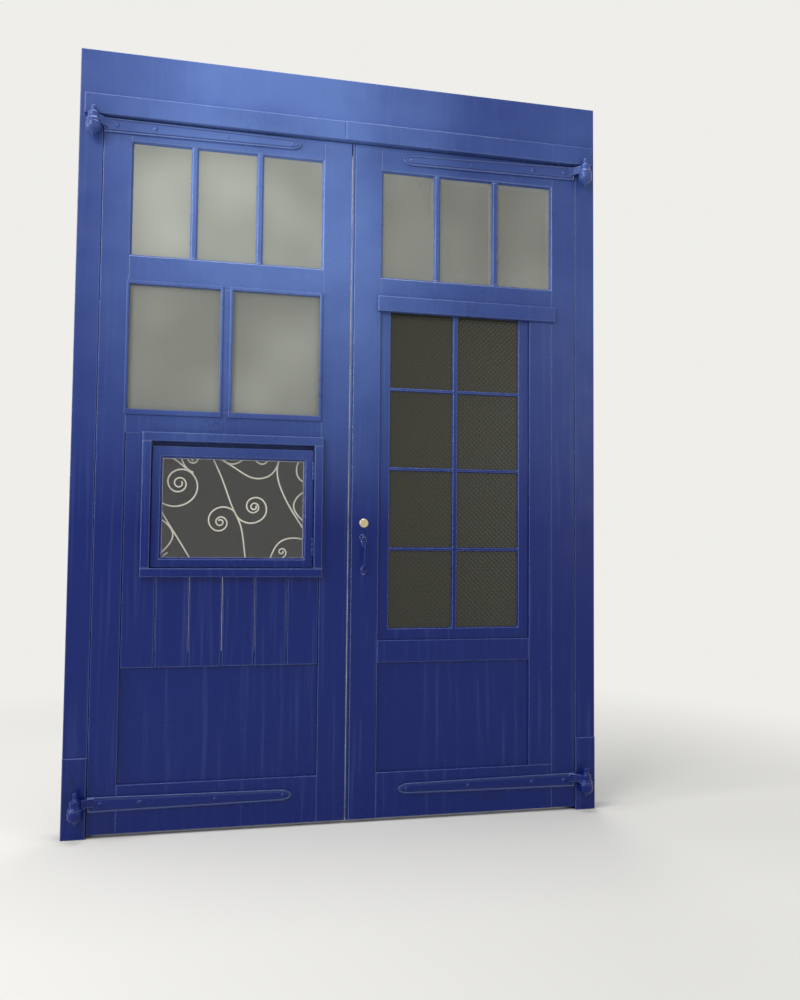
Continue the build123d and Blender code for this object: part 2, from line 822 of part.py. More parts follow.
# Each stem in units: the points that it passes through, from one end to the other
stems = (
    ((32.4, 78.4), (36.3, 69.8), (42.9, 55.1), (50.2, 36.0), (54.3, 27.2), (56.4, 17.6), (59.2, -0.9)),
    ((34.9, 73.0), (39.9, 69.9), (51.7, 62.8), (63.4, 57.1), (73.7, 59.8), (78.9, 69.8), (79.9, 78.4)),
    ((78.6, 68.4), (78.1, 58.0), (80.3, 50.7), (88.4, 35.2), (100.9, 16.2)),
    ((-1.0, 44.4), (3.2, 37.4), (10.9, 24.6), (18.3, 12.8), (26.0, -0.9)),
    ((-1.0, 31.2), (8.4, 26.8), (12.2, 20.6), (5.6, 8.8), (-1.0, 2.4)),
    ((5.0, -0.9), (5.8, 5.1), (9.3, 8.4)),
    ((73.0, -0.9), (76.7, 11.4), (80.3, 15.8), (88.4, 18.4), (101.0, 14.8)),
    ((101.0, 75.0), (91.2, 67.5), (90.6, 60.9), (101.0, 55.0)),
    ((101.0, 49.6), (92.8, 47.0), (88.8, 39.6), (93.2, 31.6), (101.0, 26.0)),
    ((18.9, 78.4), (17.3, 67.2), (19.8, 63.0), (24.4, 60.0)),
    ((-1.0, 73.6), (12.0, 68.6), (15.0, 66.4), (19.6, 62.4)),
)

with BuildPart() as scroll_grille:
    block(clear_x, grille_y, clear_z)
    block(grille_in_x, (grille_y[0] - 1, grille_y[1] + 1), grille_in_z, Mode.SUBTRACT)
    with BuildSketch(Plane(origin=(grille_in_x[0], grille_y[1], grille_in_z[0]),
                           x_dir=(1, 0, 0), z_dir=(0, -1, 0))):
        for start, heading, lead, radius, shrink, turn, quarters in scrolls:
            with BuildLine():
                curl((start[0] * unit, start[1] * unit), heading, lead * unit, radius * unit,
                     shrink, turn, quarters)
            trace(line_width=scroll_line)
        for points in stems:
            with BuildLine():
                Spline(*[(x * unit, z * unit) for x, z in points])
            trace(line_width=scroll_line)
        with Locations((-1, -1)):
            Rectangle(grille_in_x[1] - grille_in_x[0] + 2, grille_in_z[1] - grille_in_z[0] + 2,
                      align=(Align.MIN, Align.MIN), mode=Mode.INTERSECT)
    extrude(amount=grille_depth)
finish(scroll_grille, "scroll_grille")

# Tower bolts inside the left leaf's meeting stile, resting withdrawn
tower_y = back + tower_axis
tower_plate = 3
staple_height = 18
staple_half = 14
staple_reach = 11
top_plate_end = leaf_head - tower_head_margin
foot_plate_end = leaf_foot + tower_foot_margin
top_plate_z = (top_plate_end - tower_plate_length, top_plate_end)
foot_plate_z = (foot_plate_end, foot_plate_end + tower_plate_length)
staple_places = (0.05, 0.45, 0.95)

with BuildPart() as tower_bolt_plates:
    for plate_z in (top_plate_z, foot_plate_z):
        with BuildPart(mode=Mode.PRIVATE) as plate:
            block((tower_x - tower_plate_width / 2, tower_x + tower_plate_width / 2),
                  (back, back + tower_plate), plate_z)
            for share in staple_places:
                middle = plate_z[0] + share * tower_plate_length
                block((tower_x - staple_half, tower_x + staple_half),
                      (back + tower_plate, tower_y + staple_reach),
                      (middle - staple_height / 2, middle + staple_height / 2))
            with Locations((tower_x, tower_y, (plate_z[0] + plate_z[1]) / 2)):
                Cylinder(tower_rod_radius + tower_clearance, 2 * tower_plate_length,
                         mode=Mode.SUBTRACT)
        add(plate.part)
finish(tower_bolt_plates, "tower_bolt_plates")


def tower_rod(z, knob_z):
    """Round rod with a turned knob to draw it by."""
    with BuildPart() as rod:
        with BuildSketch(Plane.XY.offset(z[0])):
            with Locations((tower_x, tower_y)):
                Circle(tower_rod_radius)
        extrude(amount=z[1] - z[0])
        with BuildSketch(Plane.XZ.offset(-tower_y)):
            with Locations((tower_x, knob_z)):
                Circle(tower_rod_radius * 0.7)
        extrude(amount=-22)
        with Locations((tower_x, tower_y + 24, knob_z)):
            Sphere(tower_rod_radius + 2)
    return rod


knob_inset = tower_knob_share * tower_plate_length
top_bolt = tower_rod((top_plate_z[0] + tower_end_margin, stop_foot - keep_plate - tower_end_margin),
                     top_plate_z[0] + knob_inset)
finish(top_bolt, "top_bolt")
bottom_bolt = tower_rod((leaf_foot + tower_end_margin, foot_plate_z[1] - tower_end_margin),
                        foot_plate_z[1] - knob_inset)
finish(bottom_bolt, "bottom_bolt")

# Keep of the night latch, on the left leaf
latch_y = back + case_depth / 2
with BuildPart() as latch_keep:
    block((-keep_edge - keep_length, -keep_edge), (back, back + case_depth + 2),
          (lock_z - case_height / 2, lock_z + case_height / 2))
    room = latch_running + 2
    block((-keep_edge - keep_length + 6, 0), (latch_y - latch_depth / 2 - room,
          latch_y + latch_depth / 2 + room),
          (lock_z - latch_height / 2 - room, lock_z + latch_height / 2 + room), Mode.SUBTRACT)
finish(latch_keep, "latch_keep")

# Levels and lights of the right leaf
right_top = leaf_head - top_rail_right
right_lights_foot = right_top - top_light_height
lower_top = right_lights_foot - right_middle_rail
lower_foot = lower_top - lower_sash_height
lock_rail_foot = lower_foot - lock_rail

right_sights, right_top_z = row_of_lights(right_field, right_top, top_light_height,
                                          top_light_count, bar_width, bar_drift)
right_hollows = [light_hollow(x, right_top_z) for x in right_sights]
sash_side = right_field[0] + lower_sash_width

# Right leaf: stiles and rails
with BuildPart() as right_hanging_stile:
    block((right_field[1], leaf_outer), (0, back), (leaf_foot, leaf_head))
    ease_front()
    rebate_strip((right_field[1] - putty_width, right_field[1]), right_top_z)
    add(right_hollows, mode=Mode.SUBTRACT)
    drill_bolt_holes(1)
finish(right_hanging_stile, "right_hanging_stile")

with BuildPart() as right_meeting_stile_part:
    with BuildSketch(Plane.XY.offset(leaf_foot)):
        Polygon((right_field[0], 0), (leaf_inner, 0), (leaf_inner + meeting_relief, back),
                (right_field[0], back), align=None)
    extrude(amount=leaf_head - leaf_foot)
    block((leaf_inner + bead_width, leaf_inner + bead_width + quirk_width), (-1, quirk_depth),
          (leaf_foot, leaf_head), Mode.SUBTRACT)
    bead_edges = edges().filter_by(Axis.Z).group_by(Axis.Y)[0].sort_by(Axis.X)[0:2]
    fillet(bead_edges, bead_width * 0.42)
    rebate_strip((right_field[0], right_field[0] + putty_width), right_top_z)
    add(right_hollows, mode=Mode.SUBTRACT)
    hole_along_y(lock_x, lock_z, (-1, back + 1), barrel_radius + bolt_clearance)
finish(right_meeting_stile_part, "right_meeting_stile")

with BuildPart() as right_top_rail:
    block(right_field, (0, back), (right_top, leaf_head))
    ease_front()
    rebate_strip(right_field, (right_top_z[1], right_top))
    add(right_hollows, mode=Mode.SUBTRACT)
    drill_bolt_holes(1)
finish(right_top_rail, "right_top_rail")

with BuildPart() as right_middle_rail_part:
    block(right_field, (0, back), (lower_top, right_lights_foot))
    ease_front()
    rebate_strip(right_field, (right_lights_foot, right_top_z[0]))
    add(right_hollows, mode=Mode.SUBTRACT)
finish(right_middle_rail_part, "right_middle_rail")

with BuildPart() as right_margin_stile:
    block((sash_side, right_field[1]), (0, back), (rail_top, lower_top))
    ease_front()
finish(right_margin_stile, "right_margin_stile")

with BuildPart() as right_lock_rail:
    block((right_field[0], sash_side), (0, back), (lock_rail_foot, lower_foot))
    ease_front()
finish(right_lock_rail, "right_lock_rail")

with BuildPart() as right_bottom_rail:
    block(right_field, (0, back), (leaf_foot, rail_top))
    ease_front()
    drill_bolt_holes(1)
finish(right_bottom_rail, "right_bottom_rail")

with BuildPart() as right_bottom_panel:
    block((right_field[0] + joint_gap, sash_side - joint_gap),
          (right_panel_set, right_panel_set + right_panel_thickness),
          (rail_top, lock_rail_foot))
finish(right_bottom_panel, "right_bottom_panel")

right_bars = upright_bars(right_sights, right_hollows, right_top_z)
finish(right_bars, "right_glazing_bars")

with BuildPart() as right_top_glass:
    for x in right_sights:
        pane(x, right_top_z)
finish(right_top_glass, "right_top_glass")

# Drip mould over the lower sash: sloping top, throat underneath
drip_top = lower_top + drip_height - drip_overhang
with BuildPart() as right_drip:
    with BuildSketch(Plane.YZ.offset(right_field[0] - drip_lap)):
        Polygon((0, drip_top), (-drip_proud + 4, drip_top - 4), (-drip_proud, drip_top - 8),
                (-drip_proud, drip_top - drip_height + 3), (-drip_proud + 3, drip_top - drip_height),
                (0, drip_top - drip_height), align=None)
    extrude(amount=right_field[1] - right_field[0] + 2 * drip_lap)
finish(right_drip, "right_drip")

# Lower sash: two lights across, four down, with obscured glass
lower_x = (right_field[0] + joint_gap, sash_side - joint_gap)
lower_z = (lower_foot + joint_gap, lower_top - joint_gap)
lower_y = (lower_sash_set, lower_sash_set + lower_sash_thickness)
light_x = (lower_x[0] + lower_sash_member, lower_x[1] - lower_sash_member)
light_z = (lower_z[0] + lower_sash_member, lower_z[1] - lower_sash_head)
column = (light_x[1] - light_x[0] - lower_bar_width) / 2
pane_height = (light_z[1] - light_z[0] - lower_cross_bar * (lower_rows - 1)) / lower_rows
columns = [(light_x[0], light_x[0] + column), (light_x[1] - column, light_x[1])]
rows = [(light_z[0] + i * (pane_height + lower_cross_bar),
         light_z[0] + i * (pane_height + lower_cross_bar) + pane_height)
        for i in range(lower_rows)]
glass_in_sash = lower_glass_set - lower_sash_set
with BuildPart() as lower_sash:
    block(lower_x, lower_y, lower_z)
    ease_front()
    for x in columns:
        for z in rows:
            add(Pos(0, lower_sash_set, 0) * light_hollow(x, z, glass_in_sash, lower_putty),
                mode=Mode.SUBTRACT)
finish(lower_sash, "lower_sash")

with BuildPart() as obscured_glass:
    for x in columns:
        for z in rows:
            pane(x, z, lower_glass_set)
finish(obscured_glass, "obscured_glass")

# Rim cylinder: brass rose outside, barrel through the stile, keyway in the plug
with BuildPart() as rim_cylinder:
    with BuildSketch(Plane.XZ):
        with Locations((lock_x, lock_z)):
            Circle(rose_radius)
    extrude(amount=rose_thickness)
    chamfer(faces().sort_by(Axis.Y)[0].edges(), 2)
    with BuildSketch(Plane.XZ.offset(rose_thickness)):
        with Locations((lock_x, lock_z)):
            Circle(barrel_radius - 1)
            Circle(barrel_radius - 5, mode=Mode.SUBTRACT)
    extrude(amount=-1.5, mode=Mode.SUBTRACT)
    with BuildSketch(Plane.XZ):
        with Locations((lock_x, lock_z)):
            Circle(barrel_radius)
    extrude(amount=-back)
    block((lock_x - 1.2, lock_x + 1.2), (-2 * rose_thickness, 4), (lock_z - 6, lock_z + 4),
          Mode.SUBTRACT)
finish(rim_cylinder, "rim_cylinder")

# Forged pull: round bar bent out from two leaf-shaped feet, curled at the top
pull_low_z = pull_top_z - pull_height
foot_plate = 4
with BuildPart() as pull_handle:
    with BuildLine(Plane.YZ.offset(lock_x)):
        FilletPolyline((0, pull_low_z), (-pull_stand, pull_low_z), (-pull_stand, pull_top_z),
                       (0, pull_top_z), radius=0.55 * pull_stand)
    with BuildSketch(Plane(origin=(lock_x, 0, pull_low_z), z_dir=(0, -1, 0))):
        Circle(pull_bar_radius)
    sweep()
    with BuildSketch(Plane.XZ):
        with Locations((lock_x, pull_low_z - 6), (lock_x, pull_top_z + 6)):
            Ellipse(2 * pull_bar_radius, 4 * pull_bar_radius)
    extrude(amount=foot_plate)
    with BuildSketch(Plane.XZ):
        with BuildLine():
            JernArc((lock_x + 2, pull_top_z + 24), (0.2, 1), 10, 250)
        trace(line_width=pull_bar_radius)
    extrude(amount=foot_plate + 2)
finish(pull_handle, "pull_handle")

# Night latch inside: case, sliding bolt and turning knob
case_x = (case_edge, case_edge + case_length)
with BuildPart() as night_latch_case:
    block(case_x, (back, back + case_depth),
          (lock_z - case_height / 2, lock_z + case_height / 2))
    chamfer(faces().filter_by(Axis.Y).sort_by(Axis.Y)[-1].edges(), 3)
    block((0, case_edge + latch_length + 6),
          (latch_y - latch_depth / 2 - latch_running, latch_y + latch_depth / 2 + latch_running),
          (lock_z - latch_height / 2 - latch_running, lock_z + latch_height / 2 + latch_running),
          Mode.SUBTRACT)
    hole_along_y(lock_x, lock_z, (back + case_depth - 6, back + case_depth + 1),
                 bolt_radius + bolt_clearance)
finish(night_latch_case, "night_latch_case")

with BuildPart() as latch_bolt:
    block((case_edge + 1, case_edge + 1 + latch_length),
          (latch_y - latch_depth / 2, latch_y + latch_depth / 2),
          (lock_z - latch_height / 2, lock_z + latch_height / 2))
    nose = edges().filter_by(Axis.Z).sort_by(Axis.X)[0:2].sort_by(Axis.Y)[0]
    chamfer(nose, latch_depth * 0.6)
finish(latch_bolt, "latch_bolt")

with BuildPart() as latch_knob:
    with BuildSketch(Plane.XY):
        with BuildLine():
            neck = knob_radius * 0.5
            swell_z = knob_reach - knob_radius
            Polyline((0, knob_reach), (0, -5), (bolt_radius, -5), (bolt_radius, joint_gap),
                     (knob_radius + 3, joint_gap), (knob_radius + 3, 3), (neck, 5), (neck, 9))
            TangentArc((neck, 9), (knob_radius, swell_z), tangent=(0, 1))
            CenterArc((0, swell_z), knob_radius, 0, 90)
        make_face()
    revolve(axis=Axis.Y)
latch_knob.part = Pos(lock_x, back + case_depth, lock_z) * latch_knob.part
finish(latch_knob, "latch_knob")
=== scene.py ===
"""Dresses a pair of framed coach-house doors: paint, iron, glass, brass, screws and a studio."""

import math
import random

import bmesh
import bpy
from bpy.props import FloatProperty, FloatVectorProperty, PointerProperty
from mathutils import Matrix, Vector


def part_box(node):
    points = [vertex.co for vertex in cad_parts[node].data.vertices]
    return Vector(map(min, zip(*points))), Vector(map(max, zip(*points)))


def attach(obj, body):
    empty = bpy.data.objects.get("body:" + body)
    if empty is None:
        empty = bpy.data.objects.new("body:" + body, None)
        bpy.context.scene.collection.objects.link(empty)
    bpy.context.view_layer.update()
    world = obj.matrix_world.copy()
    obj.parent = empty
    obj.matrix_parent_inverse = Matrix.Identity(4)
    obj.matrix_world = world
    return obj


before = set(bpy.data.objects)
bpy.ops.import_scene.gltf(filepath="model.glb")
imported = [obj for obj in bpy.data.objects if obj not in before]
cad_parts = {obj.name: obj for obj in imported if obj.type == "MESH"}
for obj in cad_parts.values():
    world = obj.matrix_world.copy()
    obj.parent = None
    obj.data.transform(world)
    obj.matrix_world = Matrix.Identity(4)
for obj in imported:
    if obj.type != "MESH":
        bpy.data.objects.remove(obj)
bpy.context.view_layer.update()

bl_info = {
    "name": "Coach-house doors",
    "version": (1, 0, 0),
    "blender": (4, 2, 0),
    "location": "3D View > Sidebar > Doors",
    "description": "Paint, glass, ironwork and small fasteners for a pair of framed doors",
    "category": "Object",
}

MM = 0.001

# Timber whose grain and brush marks run upright, and timber where they run across
UPRIGHT_TIMBER = (
    "left_post", "right_post", "post_plinths", "left_hanging_stile", "left_meeting_stile",
    "right_hanging_stile", "right_meeting_stile", "right_margin_stile", "left_boards",
    "left_glazing_bars", "right_glazing_bars", "lower_sash", "left_kick_panel",
    "right_bottom_panel",
)
LEVEL_TIMBER = (
    "head_beam", "head_fascia_left", "head_fascia_right", "frame_stops", "left_top_rail",
    "left_upper_rail", "left_middle_rail", "left_bottom_rail", "left_ledge",
    "left_planted_beads", "casement_architrave", "casement_lining", "casement_sash",
    "right_top_rail", "right_middle_rail", "right_drip", "right_lock_rail",
    "right_bottom_rail",
)
# Ironwork under the same paint
PAINTED_IRON = (
    "left_hinge_hooks", "right_hinge_hooks", "left_top_strap", "left_bottom_strap",
    "right_top_strap", "right_bottom_strap", "left_strap_bolts", "right_strap_bolts",
    "casement_frame_butts", "casement_sash_butts", "casement_catch", "tower_bolt_plates",
    "top_bolt", "bottom_bolt", "head_keep", "latch_keep", "night_latch_case", "pull_handle",
)

# Fixed colours: clean glass, the studio's backdrop, its overcast light and the dim glow that
# paints the shade of the room behind
CLEAN_GLASS = "#fbfcfb"
BACKDROP = "#efeeea"
OVERCAST = "#e8ecf2"
DIM_ROOM = "#161615"

# Refractive indices of gloss paint and window glass
PAINT_IOR = 1.48
GLASS_IOR = 1.5

# The blue grows paler between two heights, and most of all near a line left of the middle: painted
# sky sheen on the gloss, partly sun fading
SHEEN_FADE_LOW, SHEEN_FADE_HIGH = 1300 * MM, 2500 * MM
SHEEN_FADE_MIDDLE = -300 * MM
SHEEN_FADE_NEAR, SHEEN_FADE_FAR = 350 * MM, 850 * MM

# Brush marks are this many times longer than they are wide
BRUSH_STRETCH = 30

# Small screws: their place on the plates, and the size of the catch's pivot beside the others
SCREW_INSET = 8 * MM
TOWER_PLATE_LENGTH = 310 * MM
TOWER_PLATE_THICKNESS = 3 * MM
TOWER_SCREW_SHARES = (0.2, 0.32, 0.6, 0.8)
PULL_FOOT_THICKNESS = 4 * MM
CATCH_PIVOT_SCALE = 0.6

# Studio, in metres: the floor blends into the backdrop between two distances from the doors
FLOOR_HALF_WIDTH = 14.0
FLOOR_BLEND_START, FLOOR_BLEND_END = 1.6, 4.2
ROOM_CARD_WIDTH, ROOM_CARD_HEIGHT = 2.4, 3.4
ROOM_CARD_BEHIND = 0.5

# Soft lamps: name, place, point aimed at, width and height in metres, power in watts
LAMPS = (
    ("key_light", (-4.2, -4.5, 5.2), (0, 0, 1.7), (3.0, 3.0), 220),
    ("side_light", (-5.5, -1.0, 3.0), (0, 0, 2.0), (1.2, 3.5), 140),
    ("sky_light", (-0.3, -0.2, 6.2), (-0.3, -0.1, 1.2), (4.0, 2.2), 180),
    ("fill_light", (4.5, -5.0, 2.5), (0, 0, 1.5), (3.0, 3.0), 45),
    ("back_light", (1.5, 5.5, 4.0), (0, 0, 1.6), (3.0, 3.0), 100),
)
OVERCAST_STRENGTH = 0.36

# Camera as fitted to the photograph: focal length in its pixels, sensor in millimetres, place in
# metres, turns in degrees
FOCAL_PIXELS, PICTURE_HEIGHT_PIXELS = 850, 1000
SENSOR_HEIGHT = 36
CAMERA_PLACE = (-0.572, -3.775, 1.25)
CAMERA_PITCH, CAMERA_YAW, CAMERA_ROLL = 2.71, -12.08, 0.52

# Sockets of a Mix node that mixes colours
MIX_AMOUNT, MIX_UNDER, MIX_OVER = 0, 6, 7
MIXED = 2


def linear(hex_colour):
    """An sRGB hex value as the linear colour that shaders work in."""
    channels = [int(hex_colour[i:i + 2], 16) / 255 for i in (1, 3, 5)]
    return tuple(c / 12.92 if c <= 0.04045 else ((c + 0.055) / 1.055) ** 2.4 for c in channels)


class DoorColours(bpy.types.PropertyGroup):
    """Colours of the finishes."""

    # High-up paint carries a painted sky sheen as well as some sun fading
    paint_high_with_sheen: FloatVectorProperty(
        name="Paint, high up", description="Gloss paint near the head, a little faded",
        subtype="COLOR", size=3, min=0, max=1, default=linear("#5973b1"))
    paint_low: FloatVectorProperty(
        name="Paint, low down", description="Gloss paint near the ground",
        subtype="COLOR", size=3, min=0, max=1, default=linear("#0a1f66"))
    # Paler blue of edges, partly rubbing wear and partly a painted highlight, and of rain runs
    edge_highlight_wear_and_runs: FloatVectorProperty(
        name="Paint on edges", description="Paler blue of rubbed edges and rain runs",
        subtype="COLOR", size=3, min=0, max=1, default=linear("#8fa6e6"))
    chip: FloatVectorProperty(
        name="Chip", description="Grimy older coat that shows in small chips",
        subtype="COLOR", size=3, min=0, max=1, default=linear("#0d1436"))
    scroll_cream: FloatVectorProperty(
        name="Scroll cream", description="Cream paint of the scroll grille",
        subtype="COLOR", size=3, min=0, max=1, default=linear("#ebe6d8"))
    glass_dust: FloatVectorProperty(
        name="Glass dust", description="Film of dust on the upper panes",
        subtype="COLOR", size=3, min=0, max=1, default=linear("#b4b7ad"))
    obscured_tint: FloatVectorProperty(
        name="Obscured glass", description="Body colour of the patterned panes",
        subtype="COLOR", size=3, min=0, max=1, default=linear("#3a3929"))
    brass: FloatVectorProperty(
        name="Lock metal", description="Worn nickel-brass of the lock",
        subtype="COLOR", size=3, min=0, max=1, default=linear("#c9bd9a"))
    floor: FloatVectorProperty(
        name="Floor", description="Pale floor of the studio",
        subtype="COLOR", size=3, min=0, max=1, default=linear("#dedcd6"))


class DoorSizes(bpy.types.PropertyGroup):
    """Sizes of the small fasteners and of the patterns in paint and glass."""

    screw_head: FloatProperty(
        name="Screw head", description="Diameter of the small screw heads",
        unit="LENGTH", min=0.003, max=0.02, default=9 * MM)
    screw_proud: FloatProperty(
        name="Screw height", description="How far a small screw head stands up",
        unit="LENGTH", min=0.0005, max=0.006, default=1.8 * MM)
    brush_mark: FloatProperty(
        name="Brush mark", description="Spacing of the brush marks in the paint",
        unit="LENGTH", min=0.0005, max=0.02, default=5 * MM)
    # The paler line along an edge is partly rubbing wear and partly a painted highlight
    highlit_rubbed_edge: FloatProperty(
        name="Rubbed edge", description="Width of the paler line along an edge",
        unit="LENGTH", min=0.0005, max=0.01, default=4.5 * MM)
    chip: FloatProperty(
        name="Chip", description="Size of the small chips",
        unit="LENGTH", min=0.002, max=0.05, default=9 * MM)
    diamond: FloatProperty(
        name="Diamond", description="Spacing of the pattern in the obscured glass",
        unit="LENGTH", min=0.004, max=0.05, default=16 * MM)


def add_node(owner, kind, settings=None, links=None):
    """One shader node of a material or the world.

    Settings name its attributes or inputs, and links name what feeds an input. A number
    stands for an input by its place.
    """
    node = owner.node_tree.nodes.new(kind)
    for key, value in (settings or {}).items():
        if isinstance(key, int) or key in node.inputs:
            node.inputs[key].default_value = value
        else:
            setattr(node, key, value)
    for key, source in (links or {}).items():
        owner.node_tree.links.new(source, node.inputs[key])
    return node


def empty_material(name):
    """A material without nodes."""
    material = bpy.data.materials.new(name)
    material.use_nodes = True
    material.node_tree.nodes.clear()
    return material


def new_material(name):
    """A material with its output and its Principled shader."""
    material = empty_material(name)
    shader = add_node(material, "ShaderNodeBsdfPrincipled")
    add_node(material, "ShaderNodeOutputMaterial", links={"Surface": shader.outputs["BSDF"]})
    return material, shader


def feed(material, shader, key, source):
    """Link a socket into one of the shader's inputs."""
    material.node_tree.links.new(source, shader.inputs[key])


def rgba(colour):
    """A colour with full alpha."""
    return (*colour, 1.0)


def faded_and_sheen_coat(material, place, colours):
    """The blue coat: deep near the ground, paler high up and most of all near the middle: painted
    sky sheen, partly sun fading.
    """
    axes = add_node(material, "ShaderNodeSeparateXYZ", links={0: place})
    height = add_node(material, "ShaderNodeMapRange",
                      {"From Min": SHEEN_FADE_LOW, "From Max": SHEEN_FADE_HIGH},
                      {"Value": axes.outputs["Z"]})
    aside = add_node(material, "ShaderNodeMath", {"operation": "SUBTRACT", 1: SHEEN_FADE_MIDDLE},
                     {0: axes.outputs["X"]})
    distance = add_node(material, "ShaderNodeMath", {"operation": "ABSOLUTE"},
                        {0: aside.outputs["Value"]})
    middle = add_node(material, "ShaderNodeMapRange",
                      {"From Min": SHEEN_FADE_NEAR, "From Max": SHEEN_FADE_FAR,
                       "To Min": 1.0, "To Max": 0.35},
                      {"Value": distance.outputs["Value"]})
    # The painted sheen and the fading are uneven, in clouds about 450 mm across
    clouds = add_node(material, "ShaderNodeTexNoise", {"Scale": 1 / (455 * MM), "Detail": 3.0},
                      {"Vector": place})
    uneven = add_node(material, "ShaderNodeMapRange",
                      {"From Min": 0.3, "From Max": 0.7, "To Min": 0.7, "To Max": 1.2},
                      {"Value": clouds.outputs["Fac"]})
    faded_and_sheen = add_node(material, "ShaderNodeMath", {"operation": "MULTIPLY"},
                     {0: height.outputs["Result"], 1: middle.outputs["Result"]})
    amount = add_node(material, "ShaderNodeMath", {"operation": "MULTIPLY", "use_clamp": True},
                      {0: faded_and_sheen.outputs["Value"], 1: uneven.outputs["Result"]})
    coat = add_node(material, "ShaderNodeMix",
                    {"data_type": "RGBA", MIX_UNDER: rgba(colours.paint_low),
                     MIX_OVER: rgba(colours.paint_high_with_sheen)},
                    {MIX_AMOUNT: amount.outputs["Value"]})
    return coat.outputs[MIXED]


def highlit_rubbed_edges(material, coat, colours, sizes):
    """Rounds the shading at edges and makes them paler and glossier: the paler colour is partly
    handling that rubs the coat, partly a painted highlight.
    """
    rounded = add_node(material, "ShaderNodeBevel", {"samples": 6, "Radius": sizes.highlit_rubbed_edge})
    flat = add_node(material, "ShaderNodeNewGeometry")
    turned = add_node(material, "ShaderNodeVectorMath", {"operation": "DOT_PRODUCT"},
                      {0: rounded.outputs["Normal"], 1: flat.outputs["Normal"]})
    # On a sharp edge the coat is this far on its way to the edge colour, which is rubbing wear and
    # a painted highlight
    most_highlit_rubbed = 0.6
    edge = add_node(material, "ShaderNodeMapRange",
                    {"From Min": 0.99, "From Max": 0.8, "To Min": 0.0, "To Max": most_highlit_rubbed},
                    {"Value": turned.outputs["Value"]})
    rubbed_and_highlit = add_node(material, "ShaderNodeMix",
                      {"data_type": "RGBA", MIX_OVER: rgba(colours.edge_highlight_wear_and_runs)},
                      {MIX_AMOUNT: edge.outputs["Result"], MIX_UNDER: coat})
    gloss = add_node(material, "ShaderNodeMapRange", {"From Max": most_highlit_rubbed, "To Min": 0.25},
                     {"Value": edge.outputs["Result"]})
    return rubbed_and_highlit.outputs[MIXED], rounded.outputs["Normal"], gloss.outputs["Result"]


